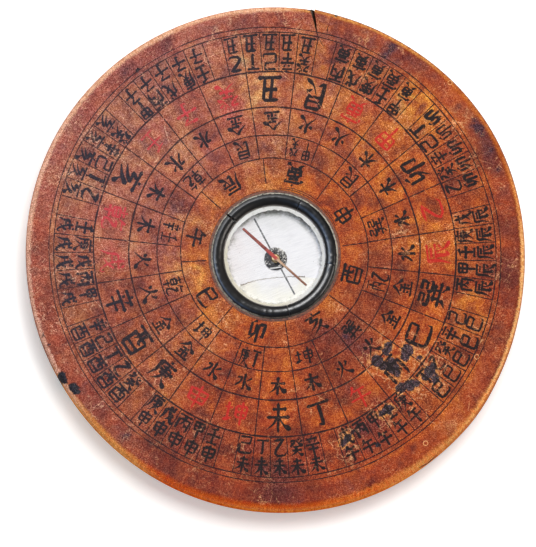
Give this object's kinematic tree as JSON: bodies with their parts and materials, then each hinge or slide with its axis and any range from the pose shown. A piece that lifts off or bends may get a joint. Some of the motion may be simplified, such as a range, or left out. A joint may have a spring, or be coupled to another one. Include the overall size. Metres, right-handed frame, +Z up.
{
  "type": "feng shui compass",
  "caption": "Round wooden dial compass with a glazed central well, a cracked black bezel ring and a free-swinging needle on a pivot pin.",
  "frame": {"origin": "on the underside, at the middle of the board's box", "axes": "+Z up out of the dial face, +Y towards the split in the board's edge, +X to the right of the dial"},
  "size_m": [0.149, 0.151, 0.0152],
  "materials": {
    "lacquered_wood": "worn orange-brown lacquer, satin",
    "black_lacquer": "black lacquer, gloss",
    "putty": "dry, rough",
    "glass": "clear",
    "packing_paper": "matte, ragged edge",
    "silvering": "brushed silver-white, scratched",
    "black_paint": "worn black paint, speckled",
    "steel": "ground to a point",
    "brass": "tarnished",
    "red_needle": "steel bar, one half painted red"
  },
  "bodies": {
    "dial": {"board": "lacquered_wood", "bezel_arc_1": "black_lacquer", "bezel_arc_2": "black_lacquer", "bezel_arc_3": "black_lacquer", "bezel_arc_4": "black_lacquer", "bezel_putty": "putty", "glass_cover": "glass", "packing_ring": "packing_paper", "silvered_pan": "silvering", "pivot_collar": "black_paint", "pivot_pin": "steel"},
    "compass_needle": {"needle_bar": "red_needle", "needle_cap": "brass"}
  },
  "joints": [
    {"name": "needle_spin", "type": "hinge", "parent": "dial", "child": "compass_needle", "pos_m": [0.00001, 0.00037, 0.0097], "axis": [0, 0, 1], "continuous": true}
  ]
}
